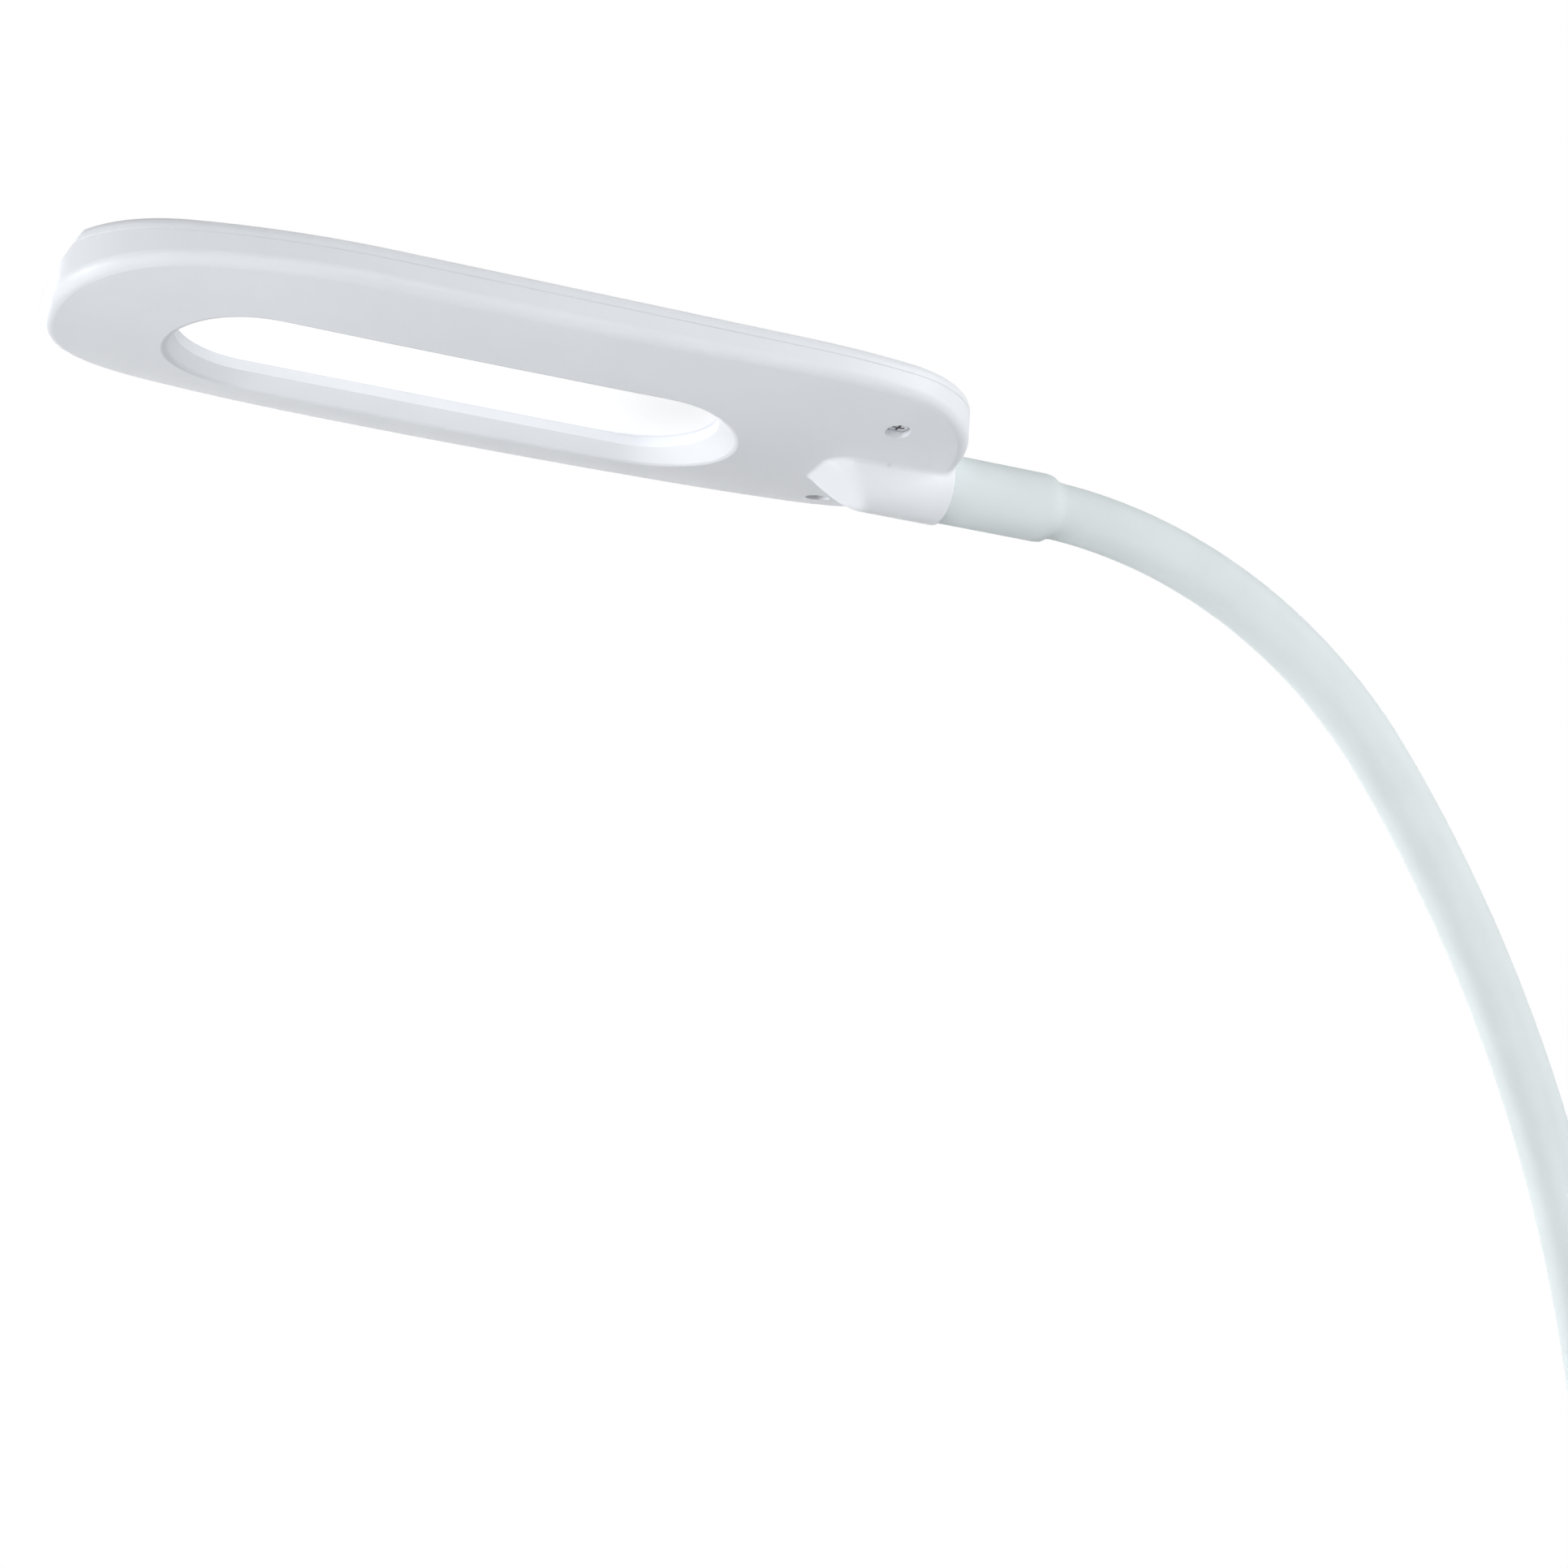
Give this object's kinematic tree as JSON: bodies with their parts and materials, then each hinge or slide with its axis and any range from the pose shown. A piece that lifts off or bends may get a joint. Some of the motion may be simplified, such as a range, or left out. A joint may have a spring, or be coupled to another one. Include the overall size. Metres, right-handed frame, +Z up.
{
  "type": "clip on reading lamp",
  "caption": "Reading lamp with a flat rounded light head on a sleeved gooseneck that stands in a sprung clip with rubber jaw pads, a push button and a power inlet.",
  "frame": {"origin": "middle of the upper jaw pad's grip face, which lies on the top of the shelf or table edge", "axes": "+Z up along the foot of the neck, -X towards the jaws' mouth and the light head, +Y to the inlet's side"},
  "size_m": [0.429, 0.075, 0.317],
  "materials": {
    "white_plastic": "satin white moulding",
    "silicone_sleeve": "matte pale grey silicone",
    "neck_steel": "plain steel",
    "cable_jacket": "pale jacket",
    "screw_steel": "zinc plated",
    "diffuser_plastic": "opal diffuser, lit",
    "clear_acrylic": "polished clear",
    "reflector_film": "bright white film",
    "plate_aluminium": "mill finish",
    "board": "white solder mask",
    "led_phosphor": "phosphor face",
    "saddle_plastic": "plain moulding",
    "ferrule_steel": "nickel plated",
    "pin_steel": "turned",
    "spring_steel": "drawn wire",
    "grip_rubber": "soft grey rubber",
    "button_plastic": "fine matte",
    "switch_plastic": "black moulding",
    "inlet_metal": "drawn shell"
  },
  "bodies": {
    "clip": {"clip_shell": "white_plastic", "clip_base": "white_plastic", "clip_screws": "screw_steel", "upper_pad": "grip_rubber", "hinge_pin": "pin_steel", "pin_retainers": "pin_steel", "torsion_spring": "spring_steel", "clip_ferrule": "ferrule_steel", "neck_washer": "ferrule_steel", "neck_nut": "ferrule_steel", "control_board": "board", "tact_switch": "switch_plastic", "usb_inlet": "inlet_metal", "clip_cable": "cable_jacket", "clip_sleeve_end": "silicone_sleeve", "clip_core_end": "neck_steel"},
    "neck_link_1": {"neck_sleeve_1": "silicone_sleeve", "neck_core_1": "neck_steel", "neck_cable_1": "cable_jacket"},
    "neck_link_2": {"neck_sleeve_2": "silicone_sleeve", "neck_core_2": "neck_steel", "neck_cable_2": "cable_jacket"},
    "neck_link_3": {"neck_sleeve_3": "silicone_sleeve", "neck_core_3": "neck_steel", "neck_cable_3": "cable_jacket"},
    "neck_link_4": {"neck_sleeve_4": "silicone_sleeve", "neck_core_4": "neck_steel", "neck_cable_4": "cable_jacket"},
    "neck_link_5": {"neck_sleeve_5": "silicone_sleeve", "neck_core_5": "neck_steel", "neck_cable_5": "cable_jacket"},
    "neck_link_6": {"neck_sleeve_6": "silicone_sleeve", "neck_core_6": "neck_steel", "neck_cable_6": "cable_jacket"},
    "neck_link_7": {"neck_sleeve_7": "silicone_sleeve", "neck_core_7": "neck_steel", "neck_cable_7": "cable_jacket"},
    "head": {"head_bottom_cover": "white_plastic", "head_top_cover": "white_plastic", "head_screws": "screw_steel", "diffuser": "diffuser_plastic", "light_guide": "clear_acrylic", "reflector_sheet": "reflector_film", "back_plate": "plate_aluminium", "led_strips": "board", "led_chips": "led_phosphor", "neck_saddle": "saddle_plastic", "saddle_screws": "screw_steel", "head_ferrule": "ferrule_steel", "head_wires": "cable_jacket", "head_sleeve_end": "silicone_sleeve", "head_core_end": "neck_steel", "head_cable": "cable_jacket"},
    "lower_jaw": {"lower_jaw": "white_plastic", "lower_pad": "grip_rubber"},
    "button": {"power_button": "button_plastic"}
  },
  "joints": [
    {"name": "neck_nod_1", "type": "hinge", "parent": "clip", "child": "neck_link_1", "pos_m": [0.022, 0, 0.055], "axis": [0, -1, 0], "range_deg": [-22, 22]},
    {"name": "neck_sway_2", "type": "hinge", "parent": "neck_link_1", "child": "neck_link_2", "pos_m": [0.0196, 0, 0.09587], "axis": [0.992, 0, 0.1262], "range_deg": [-22, 22]},
    {"name": "neck_nod_3", "type": "hinge", "parent": "neck_link_2", "child": "neck_link_3", "pos_m": [0.01167, 0, 0.13604], "axis": [0, -1, 0], "range_deg": [-22, 22]},
    {"name": "neck_sway_4", "type": "hinge", "parent": "neck_link_3", "child": "neck_link_4", "pos_m": [-0.00165, 0, 0.17476], "axis": [0.9212, 0, 0.3892], "range_deg": [-22, 22]},
    {"name": "neck_nod_5", "type": "hinge", "parent": "neck_link_4", "child": "neck_link_5", "pos_m": [-0.02012, 0, 0.2113], "axis": [0, -1, 0], "range_deg": [-22, 22]},
    {"name": "neck_sway_6", "type": "hinge", "parent": "neck_link_5", "child": "neck_link_6", "pos_m": [-0.04366, 0, 0.24477], "axis": [0.7419, 0, 0.6705], "range_deg": [-22, 22]},
    {"name": "neck_nod_7", "type": "hinge", "parent": "neck_link_6", "child": "neck_link_7", "pos_m": [-0.0761, 0, 0.26942], "axis": [0, -1, 0], "range_deg": [-22, 22]},
    {"name": "neck_sway_8", "type": "hinge", "parent": "neck_link_7", "child": "head", "pos_m": [-0.11528, 0, 0.28056], "axis": [0.0908, 0, 0.9959], "range_deg": [-22, 22]},
    {"name": "jaw_hinge", "type": "hinge", "parent": "clip", "child": "lower_jaw", "pos_m": [0.04, 0, -0.00275], "axis": [0, -1, 0], "range_deg": [0, 34], "stiffness_Nm_per_rad": 1, "springref_deg": -34.38, "deforming": ["torsion_spring"]},
    {"name": "button_press", "type": "slide", "parent": "clip", "child": "button", "axis": [0, 0, -1], "range_m": [0, 0.0008], "stiffness_N_per_m": 1500, "springref_m": -0.0003}
  ]
}
